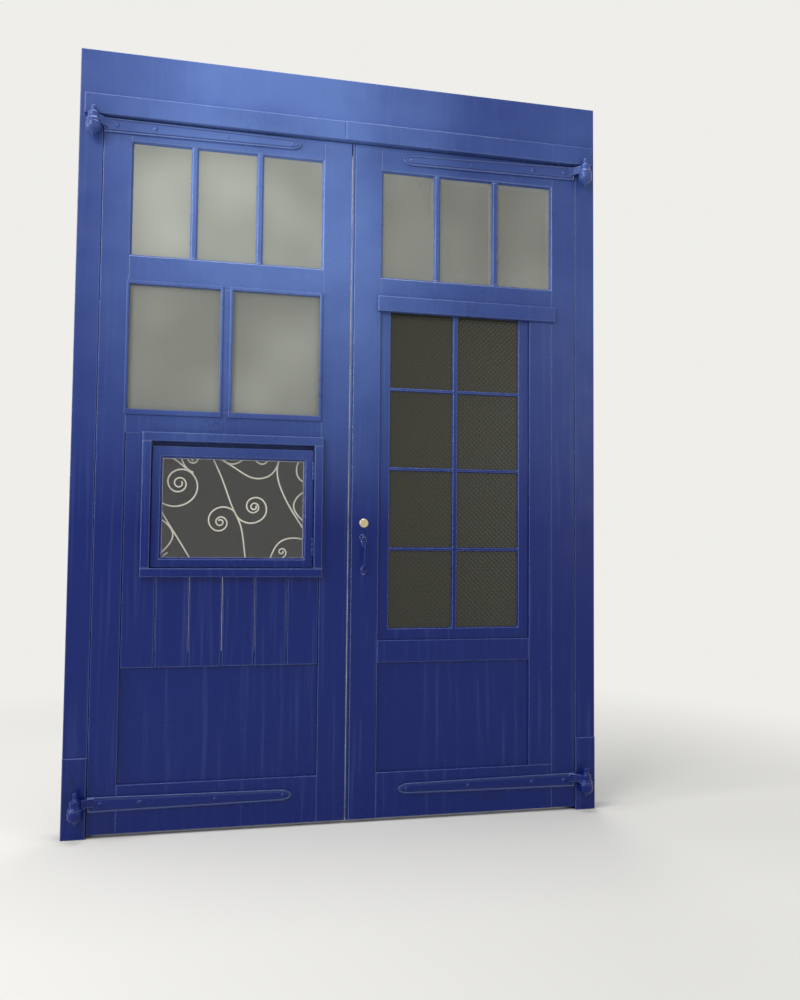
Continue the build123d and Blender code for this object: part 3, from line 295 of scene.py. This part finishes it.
def brushed_gloss_paint(name, grain, colours, sizes):
    """Alkyd gloss laid on timber by brush, many coats thick.

    The eye sees brush ridges along the grain, a soft shine that shows every dent, colour
    paler high up (painted sky sheen, partly weather fading), pale rain runs, edges paler
    from rubbing wear and a painted highlight, and a few dark chips and cracks.
    """
    material, shader = new_material(name)
    place = add_node(material, "ShaderNodeTexCoord").outputs["Object"]
    # The coat carries a painted sky sheen high up, partly sun fading
    coat = faded_and_sheen_coat(material, place, colours)

    # Brush ridges, drawn coarser than real ones so that they show
    across = 1 / sizes.brush_mark
    along = across / BRUSH_STRETCH
    scale = (across, across, along) if grain == "Z" else (along, across, across)
    stretched = add_node(material, "ShaderNodeMapping", {"Scale": scale}, {"Vector": place})
    ridges = add_node(material, "ShaderNodeTexNoise", {"Scale": 1.0, "Detail": 3.0},
                      {"Vector": stretched.outputs["Vector"]})
    # Slow waves of thick and thin paint
    waves = add_node(material, "ShaderNodeTexNoise", {"Scale": 1 / (125 * MM), "Detail": 4.0},
                     {"Vector": place})

    # Rain runs: pale streaks 20 mm wide that always hang straight down
    streak_scale = (1 / (20 * MM), 1 / (20 * MM), 1 / (625 * MM))
    hanging = add_node(material, "ShaderNodeMapping", {"Scale": streak_scale},
                       {"Vector": place})
    runs = add_node(material, "ShaderNodeTexNoise", {"Scale": 1.0, "Detail": 2.0},
                    {"Vector": hanging.outputs["Vector"]})
    streak = add_node(material, "ShaderNodeMapRange",
                      {"From Min": 0.55, "From Max": 0.8, "To Min": 0.0, "To Max": 0.06},
                      {"Value": runs.outputs["Fac"]})
    streaked = add_node(material, "ShaderNodeMix",
                        {"data_type": "RGBA", MIX_OVER: rgba(colours.edge_highlight_wear_and_runs)},
                        {MIX_AMOUNT: streak.outputs["Result"], MIX_UNDER: coat})

    # Loose patches about 400 mm across, with chips and hairline cracks inside them
    patches = add_node(material, "ShaderNodeTexNoise", {"Scale": 1 / (417 * MM), "Detail": 2.0},
                       {"Vector": place})
    loose = add_node(material, "ShaderNodeMapRange", {"From Min": 0.6, "From Max": 0.74},
                     {"Value": patches.outputs["Fac"]})
    # Only the peaks of the noise count as chips, so its own scale is three chips wide
    speck_scale = 1 / (3 * sizes.chip)
    specks = add_node(material, "ShaderNodeTexNoise",
                      {"Scale": speck_scale, "Detail": 6.0, "Roughness": 0.7},
                      {"Vector": place})
    chipped = add_node(material, "ShaderNodeMapRange", {"From Min": 0.64, "From Max": 0.66},
                       {"Value": specks.outputs["Fac"]})
    # Cracks part the coat into plates, whose edges wander by up to 20 mm
    wander = add_node(material, "ShaderNodeVectorMath",
                      {"operation": "MULTIPLY_ADD", 1: (20 * MM, 20 * MM, 20 * MM)},
                      {0: specks.outputs["Color"], 2: place})
    plates = add_node(material, "ShaderNodeTexVoronoi",
                      {"feature": "DISTANCE_TO_EDGE", "Scale": speck_scale},
                      {"Vector": wander.outputs["Vector"]})
    cracked = add_node(material, "ShaderNodeMapRange",
                       {"From Min": 0.01, "From Max": 0.04, "To Min": 0.8, "To Max": 0.0},
                       {"Value": plates.outputs["Distance"]})
    broken = add_node(material, "ShaderNodeMath", {"operation": "MAXIMUM"},
                      {0: chipped.outputs["Result"], 1: cracked.outputs["Result"]})
    bare = add_node(material, "ShaderNodeMath", {"operation": "MULTIPLY"},
                    {0: loose.outputs["Result"], 1: broken.outputs["Value"]})
    colour = add_node(material, "ShaderNodeMix",
                      {"data_type": "RGBA", MIX_OVER: rgba(colours.chip)},
                      {MIX_AMOUNT: bare.outputs["Value"], MIX_UNDER: streaked.outputs[MIXED]})
    # Edges paler from rubbing wear and a painted highlight
    rubbed_and_highlit, rounded, gloss = highlit_rubbed_edges(material, colour.outputs[MIXED], colours, sizes)

    # Relief: ridges 0.2 mm and waves 1 mm high, chips 0.4 mm deep
    fine = add_node(material, "ShaderNodeBump", {"Strength": 0.35, "Distance": 0.2 * MM},
                    {"Height": ridges.outputs["Fac"], "Normal": rounded})
    broad = add_node(material, "ShaderNodeBump", {"Strength": 0.5, "Distance": 1 * MM},
                     {"Height": waves.outputs["Fac"], "Normal": fine.outputs["Normal"]})
    sunk = add_node(material, "ShaderNodeBump",
                    {"Strength": 0.6, "Distance": 0.4 * MM, "invert": True},
                    {"Height": bare.outputs["Value"], "Normal": broad.outputs["Normal"]})
    dull = add_node(material, "ShaderNodeMapRange",
                    {"From Min": 0.3, "From Max": 0.7, "To Min": 0.2, "To Max": 0.36},
                    {"Value": waves.outputs["Fac"]})
    feed(material, shader, "Base Color", rubbed_and_highlit)
    feed(material, shader, "Roughness", dull.outputs["Result"])
    feed(material, shader, "Normal", sunk.outputs["Normal"])
    feed(material, shader, "Specular IOR Level", gloss)
    shader.inputs["IOR"].default_value = PAINT_IOR
    return material


def painted_cast_iron(colours, sizes):
    """Cast iron under many coats of the same gloss: lumpy, with softened edges, paler from wear
    and a painted highlight.
    """
    material, shader = new_material("painted_cast_iron")
    place = add_node(material, "ShaderNodeTexCoord").outputs["Object"]
    # The coat carries a painted sky sheen high up, partly sun fading
    coat = faded_and_sheen_coat(material, place, colours)
    # Edges paler from rubbing wear and a painted highlight
    rubbed_and_highlit, rounded, gloss = highlit_rubbed_edges(material, coat, colours, sizes)
    # Sand-cast skin, coarse enough to show: 8 mm lumps, 0.3 mm high
    lumps = add_node(material, "ShaderNodeTexNoise", {"Scale": 1 / (8 * MM), "Detail": 4.0},
                     {"Vector": place})
    skin = add_node(material, "ShaderNodeBump", {"Strength": 0.5, "Distance": 0.3 * MM},
                    {"Height": lumps.outputs["Fac"], "Normal": rounded})
    feed(material, shader, "Base Color", rubbed_and_highlit)
    feed(material, shader, "Normal", skin.outputs["Normal"])
    feed(material, shader, "Specular IOR Level", gloss)
    shader.inputs["Roughness"].default_value = 0.24
    shader.inputs["IOR"].default_value = PAINT_IOR
    return material


def cream_painted_bar(colours):
    """Flat steel bar in brushed cream eggshell paint: a low sheen, slightly uneven."""
    material, shader = new_material("cream_painted_bar")
    place = add_node(material, "ShaderNodeTexCoord").outputs["Object"]
    # Lumps of 5.5 mm, coarser than real ones so that they show
    lumps = add_node(material, "ShaderNodeTexNoise", {"Scale": 1 / (5.5 * MM)},
                     {"Vector": place})
    skin = add_node(material, "ShaderNodeBump", {"Strength": 0.3, "Distance": 0.2 * MM},
                    {"Height": lumps.outputs["Fac"]})
    feed(material, shader, "Normal", skin.outputs["Normal"])
    shader.inputs["Base Color"].default_value = rgba(colours.scroll_cream)
    shader.inputs["Roughness"].default_value = 0.45
    return material


def drawn_glass(name, colour, clearness, uneven, roughness):
    """Old drawn window glass: faint waves that bend reflections, under a film of dust.

    Clearness is the share of light that the film lets through, and uneven is how far that
    share strays to either side.
    """
    material, shader = new_material(name)
    place = add_node(material, "ShaderNodeTexCoord").outputs["Object"]
    # Draw lines run upright, about 60 mm apart
    wave_scale = (1 / (62.5 * MM), 1 / (62.5 * MM), 1 / (333 * MM))
    stretched = add_node(material, "ShaderNodeMapping", {"Scale": wave_scale},
                         {"Vector": place})
    wave = add_node(material, "ShaderNodeTexNoise", {"Scale": 1.0, "Detail": 1.0},
                    {"Vector": stretched.outputs["Vector"]})
    bent = add_node(material, "ShaderNodeBump", {"Strength": 0.25, "Distance": 2 * MM},
                    {"Height": wave.outputs["Fac"]})
    feed(material, shader, "Normal", bent.outputs["Normal"])
    shader.inputs["Base Color"].default_value = rgba(colour)
    shader.inputs["Transmission Weight"].default_value = clearness
    shader.inputs["Roughness"].default_value = roughness
    shader.inputs["IOR"].default_value = GLASS_IOR
    if uneven:
        # The film lies in clouds about 500 mm across
        clouds = add_node(material, "ShaderNodeTexNoise",
                          {"Scale": 1 / (500 * MM), "Detail": 1.0}, {"Vector": place})
        film = add_node(material, "ShaderNodeMapRange",
                        {"From Min": 0.35, "From Max": 0.65,
                         "To Min": clearness - uneven, "To Max": clearness + uneven},
                        {"Value": clouds.outputs["Fac"]})
        feed(material, shader, "Transmission Weight", film.outputs["Result"])
    return material


def obscured_cast_glass(colours, sizes):
    """Rolled glass with a small raised diamond pattern that blurs what is behind."""
    material, shader = new_material("obscured_cast_glass")
    place = add_node(material, "ShaderNodeTexCoord").outputs["Object"]
    turned = add_node(material, "ShaderNodeMapping",
                      {"Rotation": (0, math.radians(45), 0)}, {"Vector": place})
    axes = add_node(material, "ShaderNodeSeparateXYZ", links={0: turned.outputs["Vector"]})
    half_diamond = sizes.diamond / 2
    ribs = []
    for axis in ("X", "Z"):
        step = add_node(material, "ShaderNodeMath", {"operation": "PINGPONG", 1: half_diamond},
                        {0: axes.outputs[axis]})
        ribs.append(step.outputs["Value"])
    peak = add_node(material, "ShaderNodeMath", {"operation": "MINIMUM"},
                    {0: ribs[0], 1: ribs[1]})
    relief = add_node(material, "ShaderNodeMath", {"operation": "DIVIDE", 1: half_diamond},
                      {0: peak.outputs["Value"]})
    bump = add_node(material, "ShaderNodeBump", {"Strength": 0.8, "Distance": 1.2 * MM},
                    {"Height": relief.outputs["Value"]})
    feed(material, shader, "Normal", bump.outputs["Normal"])
    shader.inputs["Base Color"].default_value = rgba(colours.obscured_tint)
    shader.inputs["Transmission Weight"].default_value = 0.6
    shader.inputs["Roughness"].default_value = 0.3
    shader.inputs["IOR"].default_value = GLASS_IOR
    shader.inputs["Specular IOR Level"].default_value = 0.3
    return material


def worn_brass(colours):
    """Cast nickel-brass of the lock: patches worn bright by hands, dull between them."""
    material, shader = new_material("worn_lock_brass")
    place = add_node(material, "ShaderNodeTexCoord").outputs["Object"]
    # Wear in patches about 4.5 mm across
    wear = add_node(material, "ShaderNodeTexNoise", {"Scale": 1 / (4.5 * MM), "Detail": 3.0},
                    {"Vector": place})
    rough = add_node(material, "ShaderNodeMapRange", {"To Min": 0.22, "To Max": 0.5},
                     {"Value": wear.outputs["Fac"]})
    feed(material, shader, "Roughness", rough.outputs["Result"])
    shader.inputs["Base Color"].default_value = rgba(colours.brass)
    shader.inputs["Metallic"].default_value = 1.0
    return material


def paint_nodes(names, material):
    """Give CAD nodes one finish."""
    for name in names:
        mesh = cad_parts[name].data
        mesh.materials.clear()
        mesh.materials.append(material)


def new_object(shape, name, material):
    """Turn a bmesh into an object at the origin, in one material."""
    mesh = bpy.data.meshes.new(name)
    shape.to_mesh(mesh)
    shape.free()
    mesh.materials.append(material)
    made = bpy.data.objects.new(name, mesh)
    bpy.context.scene.collection.objects.link(made)
    return made


def keep_piece(shape, name, body, material):
    """Turn a bmesh into a named piece that rides on a body."""
    piece = new_object(shape, name, material)
    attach(piece, body)


def add_screw_head(shape, place, facing, diameter, proud, turn):
    """A tapered, slotted screw head standing on a surface that faces along facing."""
    top_diameter = 0.72 * diameter
    slot_width = 0.14 * diameter
    slot_depth = 0.55 * proud
    head = bmesh.new()
    bmesh.ops.create_cone(head, cap_ends=True, segments=20, radius1=diameter / 2,
                          radius2=top_diameter / 2, depth=proud)
    for offset in (-slot_width / 2, slot_width / 2):
        everything = head.verts[:] + head.edges[:] + head.faces[:]
        bmesh.ops.bisect_plane(head, geom=everything, plane_co=(0, offset, 0),
                               plane_no=(0, 1, 0))
    head.normal_update()
    slot = [f for f in head.faces
            if f.normal.z > 0.9 and abs(f.calc_center_median().y) < slot_width / 2]
    pushed = bmesh.ops.extrude_face_region(head, geom=slot)
    bmesh.ops.delete(head, geom=slot, context="FACES_ONLY")
    sunk = [g for g in pushed["geom"] if isinstance(g, bmesh.types.BMVert)]
    bmesh.ops.translate(head, verts=sunk, vec=(0, 0, -slot_depth))
    quaternion = Vector((0, 0, 1)).rotation_difference(Vector(facing))
    settle = (Matrix.Translation(place) @ quaternion.to_matrix().to_4x4()
              @ Matrix.Rotation(turn, 4, "Z") @ Matrix.Translation((0, 0, proud / 2)))
    bmesh.ops.transform(head, matrix=settle, verts=head.verts)
    one = bpy.data.meshes.new("screw_head")
    head.to_mesh(one)
    head.free()
    shape.from_mesh(one)
    bpy.data.meshes.remove(one)


def screw_group(name, body, material, places, facing, sizes, seed, scale=1.0):
    """Several screw heads in one piece, each with its slot turned at random."""
    turns = random.Random(seed)
    shape = bmesh.new()
    for place in places:
        add_screw_head(shape, place, facing, sizes.screw_head * scale,
                       sizes.screw_proud * scale, turns.uniform(0, math.pi))
    keep_piece(shape, name, body, material)


class DOORS_OT_painted_timber(bpy.types.Operator):
    """Paint the frame and both leaves in brushed blue gloss."""

    bl_idname = "coach_doors.painted_timber"
    bl_label = "Painted timber"

    def execute(self, context):
        colours = context.scene.door_colours
        sizes = context.scene.door_sizes
        upright = brushed_gloss_paint("gloss_paint_on_upright_timber", "Z", colours, sizes)
        level = brushed_gloss_paint("gloss_paint_on_level_timber", "X", colours, sizes)
        paint_nodes(UPRIGHT_TIMBER, upright)
        paint_nodes(LEVEL_TIMBER, level)
        return {"FINISHED"}


class DOORS_OT_painted_iron(bpy.types.Operator):
    """Paint the hinges, bolts, keeps, catch, pull and latch case with the same gloss."""

    bl_idname = "coach_doors.painted_iron"
    bl_label = "Painted iron"

    def execute(self, context):
        scene = context.scene
        paint_nodes(PAINTED_IRON, painted_cast_iron(scene.door_colours, scene.door_sizes))
        return {"FINISHED"}


class DOORS_OT_scroll_grille(bpy.types.Operator):
    """Paint the scroll grille cream."""

    bl_idname = "coach_doors.scroll_grille"
    bl_label = "Scroll grille"

    def execute(self, context):
        paint_nodes(("scroll_grille",), cream_painted_bar(context.scene.door_colours))
        return {"FINISHED"}


class DOORS_OT_glass(bpy.types.Operator):
    """Glaze the upper lights, the casement and the tall sash."""

    bl_idname = "coach_doors.glass"
    bl_label = "Glass"

    def execute(self, context):
        colours = context.scene.door_colours
        filmed = drawn_glass("thickly_filmed_drawn_glass", colours.glass_dust,
                             clearness=0.35, uneven=0.15, roughness=0.1)
        dusty = drawn_glass("dusty_drawn_glass", colours.glass_dust,
                            clearness=0.55, uneven=0.1, roughness=0.08)
        streaky = drawn_glass("thinly_filmed_drawn_glass", colours.glass_dust,
                              clearness=0.65, uneven=0.08, roughness=0.1)
        clean = drawn_glass("clean_drawn_glass", linear(CLEAN_GLASS),
                            clearness=1.0, uneven=0.0, roughness=0.0)
        paint_nodes(("left_top_glass",), filmed)
        paint_nodes(("left_middle_glass",), dusty)
        paint_nodes(("right_top_glass",), streaky)
        paint_nodes(("casement_glass",), clean)
        paint_nodes(("obscured_glass",), obscured_cast_glass(colours, context.scene.door_sizes))
        return {"FINISHED"}


class DOORS_OT_lock_metal(bpy.types.Operator):
    """Finish the rim cylinder, the latch bolt and its knob in worn brass."""

    bl_idname = "coach_doors.lock_metal"
    bl_label = "Lock metal"

    def execute(self, context):
        paint_nodes(("rim_cylinder", "latch_bolt", "latch_knob"),
                    worn_brass(context.scene.door_colours))
        return {"FINISHED"}


class DOORS_OT_screws(bpy.types.Operator):
    """Add the screw heads of the tower bolts, the keeps, the latch, the pull and the catch."""

    bl_idname = "coach_doors.screws"
    bl_label = "Screws"

    def execute(self, context):
        sizes = context.scene.door_sizes
        paint = bpy.data.materials["painted_cast_iron"]

        # Tower bolts: screws in pairs up both plates, clear of the staples
        low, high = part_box("tower_bolt_plates")
        plate_face = low[1] + TOWER_PLATE_THICKNESS
        rows = []
        for foot in (low[2], high[2] - TOWER_PLATE_LENGTH):
            for share in TOWER_SCREW_SHARES:
                for x in (low[0] + SCREW_INSET, high[0] - SCREW_INSET):
                    rows.append((x, plate_face, foot + share * TOWER_PLATE_LENGTH))
        screw_group("tower_bolt_screws", "left_leaf", paint, rows,
                    (0, 1, 0), sizes, seed=3)

        # Head keep: one screw at each end of the plate, seen from below
        low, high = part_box("head_keep")
        middle = (low[1] + high[1]) / 2
        ends = [(x, middle, low[2]) for x in (low[0] + SCREW_INSET, high[0] - SCREW_INSET)]
        screw_group("head_keep_screws", "frame", paint, ends,
                    (0, 0, -1), sizes, seed=5)

        # Night latch and its keep: screws near the corners of the back
        for node, body, seed in (("night_latch_case", "right_leaf", 7),
                                 ("latch_keep", "left_leaf", 9)):
            low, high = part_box(node)
            corners = [(x, high[1], z) for x in (low[0] + SCREW_INSET, high[0] - SCREW_INSET)
                       for z in (low[2] + SCREW_INSET, high[2] - SCREW_INSET)]
            screw_group(f"{node}_screws", body, paint, corners,
                        (0, 1, 0), sizes, seed)

        # Pull: one screw in the lower end of its lower foot, in line with the lock
        low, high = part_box("rim_cylinder")
        lock_middle = (low[0] + high[0]) / 2
        low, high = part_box("pull_handle")
        foot_end = (lock_middle, high[1] - PULL_FOOT_THICKNESS, low[2] + SCREW_INSET)
        screw_group("pull_screws", "right_leaf", paint, [foot_end],
                    (0, -1, 0), sizes, seed=11)

        # Turn catch: the slotted head of its pivot
        low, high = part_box("casement_catch")
        pivot = ((low[0] + high[0]) / 2, high[1], (low[2] + high[2]) / 2)
        screw_group("catch_pivot_screw", "catch", paint, [pivot],
                    (0, 1, 0), sizes, seed=13, scale=CATCH_PIVOT_SCALE)
        return {"FINISHED"}


class DOORS_OT_stage(bpy.types.Operator):
    """Set the pale floor, the dim room behind, the soft light and the camera."""

    bl_idname = "coach_doors.stage"
    bl_label = "Stage"

    def execute(self, context):
        pale_floor(context.scene.door_colours)
        dim_room_card()
        soft_lights()
        front_camera()
        context.scene.view_settings.view_transform = "Standard"
        return {"FINISHED"}


def pale_floor(colours):
    """A wide matt floor that keeps the doors' shadow and turns to the backdrop far away."""
    material = empty_material("studio_floor")
    matt = add_node(material, "ShaderNodeBsdfPrincipled",
                    {"Base Color": rgba(colours.floor), "Roughness": 0.9})
    place = add_node(material, "ShaderNodeTexCoord").outputs["Object"]
    reach = add_node(material, "ShaderNodeVectorMath", {"operation": "LENGTH"}, {0: place})
    far = add_node(material, "ShaderNodeMapRange",
                   {"interpolation_type": "SMOOTHSTEP", "From Min": FLOOR_BLEND_START,
                    "From Max": FLOOR_BLEND_END}, {"Value": reach.outputs["Value"]})
    backdrop = add_node(material, "ShaderNodeEmission", {"Color": rgba(linear(BACKDROP))})
    blend = add_node(material, "ShaderNodeMixShader", {},
                     {0: far.outputs["Result"], 1: matt.outputs["BSDF"],
                      2: backdrop.outputs["Emission"]})
    add_node(material, "ShaderNodeOutputMaterial", links={"Surface": blend.outputs["Shader"]})
    shape = bmesh.new()
    bmesh.ops.create_grid(shape, x_segments=1, y_segments=1, size=FLOOR_HALF_WIDTH)
    floor = new_object(shape, "studio_floor", material)


def dim_room_card():
    """A dim glowing card behind the doorway, seen only through glass: painted shade, so that panes
    look onto a dark room.
    """
    material = empty_material("dim_room")
    # The card glows dimly: painted shade of an unlit room
    glow = add_node(material, "ShaderNodeEmission", {"Color": rgba(linear(DIM_ROOM))})
    add_node(material, "ShaderNodeOutputMaterial", links={"Surface": glow.outputs["Emission"]})
    shape = bmesh.new()
    bmesh.ops.create_grid(shape, x_segments=1, y_segments=1, size=0.5)
    bmesh.ops.scale(shape, vec=(ROOM_CARD_WIDTH, ROOM_CARD_HEIGHT, 1), verts=shape.verts)
    bmesh.ops.rotate(shape, verts=shape.verts, cent=(0, 0, 0),
                     matrix=Matrix.Rotation(math.radians(90), 3, "X"))
    bmesh.ops.translate(shape, verts=shape.verts,
                        vec=(0, ROOM_CARD_BEHIND, ROOM_CARD_HEIGHT / 2))
    card = new_object(shape, "dim_room", material)
    card.visible_camera = False
    card.visible_shadow = False
    card.visible_diffuse = False
    card.visible_glossy = False


def area_light(name, place, target, size, power):
    """A large soft lamp aimed at a point."""
    lamp = bpy.data.lights.new(name, "AREA")
    lamp.shape = "RECTANGLE"
    lamp.size, lamp.size_y = size
    lamp.energy = power
    lit = bpy.data.objects.new(name, lamp)
    lit.location = place
    lit.rotation_euler = (Vector(target) - Vector(place)).to_track_quat("-Z", "Y").to_euler()
    bpy.context.scene.collection.objects.link(lit)


def soft_lights():
    """The lamps, and a world that lights evenly and shows the backdrop."""
    for lamp in LAMPS:
        area_light(*lamp)
    world = bpy.data.worlds.new("pale_studio")
    bpy.context.scene.world = world
    world.use_nodes = True
    world.node_tree.nodes.clear()
    light = add_node(world, "ShaderNodeBackground",
                     {"Color": rgba(linear(OVERCAST)), "Strength": OVERCAST_STRENGTH})
    backdrop = add_node(world, "ShaderNodeBackground", {"Color": rgba(linear(BACKDROP))})
    # The camera, glass and reflections see the backdrop, and all else gets the overcast light
    seen = add_node(world, "ShaderNodeLightPath")
    straight = add_node(world, "ShaderNodeMath", {"operation": "MAXIMUM"},
                        {0: seen.outputs["Is Camera Ray"], 1: seen.outputs["Is Transmission Ray"]})
    shown = add_node(world, "ShaderNodeMath", {"operation": "MAXIMUM"},
                     {0: straight.outputs["Value"], 1: seen.outputs["Is Glossy Ray"]})
    mix = add_node(world, "ShaderNodeMixShader", {},
                   {0: shown.outputs["Value"], 1: light.outputs["Background"],
                    2: backdrop.outputs["Background"]})
    add_node(world, "ShaderNodeOutputWorld", links={"Surface": mix.outputs["Shader"]})


def front_camera():
    """The photograph's view: from 1.25 m up, a little left of the middle, turned to the right."""
    optics = bpy.data.cameras.new("camera")
    optics.sensor_fit = "VERTICAL"
    optics.sensor_height = SENSOR_HEIGHT
    optics.lens = FOCAL_PIXELS * SENSOR_HEIGHT / PICTURE_HEIGHT_PIXELS
    camera = bpy.data.objects.new("camera", optics)
    level = Matrix.Rotation(math.radians(90), 4, "X")
    pitch = Matrix.Rotation(math.radians(CAMERA_PITCH), 4, "X")
    yaw = Matrix.Rotation(math.radians(CAMERA_YAW), 4, "Z")
    roll = Matrix.Rotation(math.radians(CAMERA_ROLL), 4, "Z")
    camera.matrix_world = Matrix.Translation(CAMERA_PLACE) @ yaw @ pitch @ level @ roll
    bpy.context.scene.collection.objects.link(camera)
    bpy.context.scene.camera = camera


STEPS = (
    DOORS_OT_painted_timber,
    DOORS_OT_painted_iron,
    DOORS_OT_scroll_grille,
    DOORS_OT_glass,
    DOORS_OT_lock_metal,
    DOORS_OT_screws,
    DOORS_OT_stage,
)


class DOORS_PT_panel(bpy.types.Panel):
    """Colours, sizes and steps of the doors."""

    bl_idname = "DOORS_PT_panel"
    bl_label = "Coach-house doors"
    bl_space_type = "VIEW_3D"
    bl_region_type = "UI"
    bl_category = "Doors"

    def draw(self, context):
        for group in (context.scene.door_colours, context.scene.door_sizes):
            box = self.layout.box()
            for key in type(group).__annotations__:
                box.prop(group, key)
        for step in STEPS:
            self.layout.operator(step.bl_idname)


CLASSES = (DoorColours, DoorSizes, *STEPS, DOORS_PT_panel)


def register():
    """Add the classes and the property groups."""
    for item in CLASSES:
        bpy.utils.register_class(item)
    bpy.types.Scene.door_colours = PointerProperty(type=DoorColours)
    bpy.types.Scene.door_sizes = PointerProperty(type=DoorSizes)


def unregister():
    """Remove them again."""
    del bpy.types.Scene.door_sizes
    del bpy.types.Scene.door_colours
    for item in reversed(CLASSES):
        bpy.utils.unregister_class(item)


def main():
    """Dress the doors."""
    register()
    for step in STEPS:
        group, action = step.bl_idname.split(".")
        getattr(getattr(bpy.ops, group), action)()
    bpy.context.view_layer.update()


if __name__ == "__main__":
    main()
